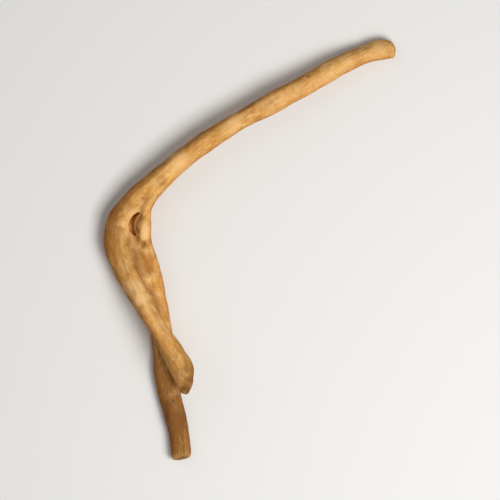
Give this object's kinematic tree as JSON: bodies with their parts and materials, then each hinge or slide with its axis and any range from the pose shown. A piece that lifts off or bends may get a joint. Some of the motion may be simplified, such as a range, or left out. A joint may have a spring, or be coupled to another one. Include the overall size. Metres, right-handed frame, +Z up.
{
  "type": "driftwood branch",
  "caption": "Forked driftwood branch with a long bowed limb, a thick knee with an eye-shaped hollow, and crossing front and back limbs, washed smooth.",
  "frame": {"origin": "centre of the branch's bounding box at the ground it lies on", "axes": "+Z up from the ground, +Y along the branch from the back limb's end to the long limb's cut end, +X to the side that the long limb reaches out to"},
  "size_m": [0.1966, 0.2837, 0.038],
  "materials": {
    "driftwood": "satin, washed smooth and weathered, pale honey tan with fine lengthwise grain, orange-brown stains and dark crevices"
  },
  "bodies": {
    "root": {"upper_limb": "driftwood", "stem": "driftwood", "front_limb": "driftwood", "back_limb": "driftwood"}
  },
  "joints": []
}
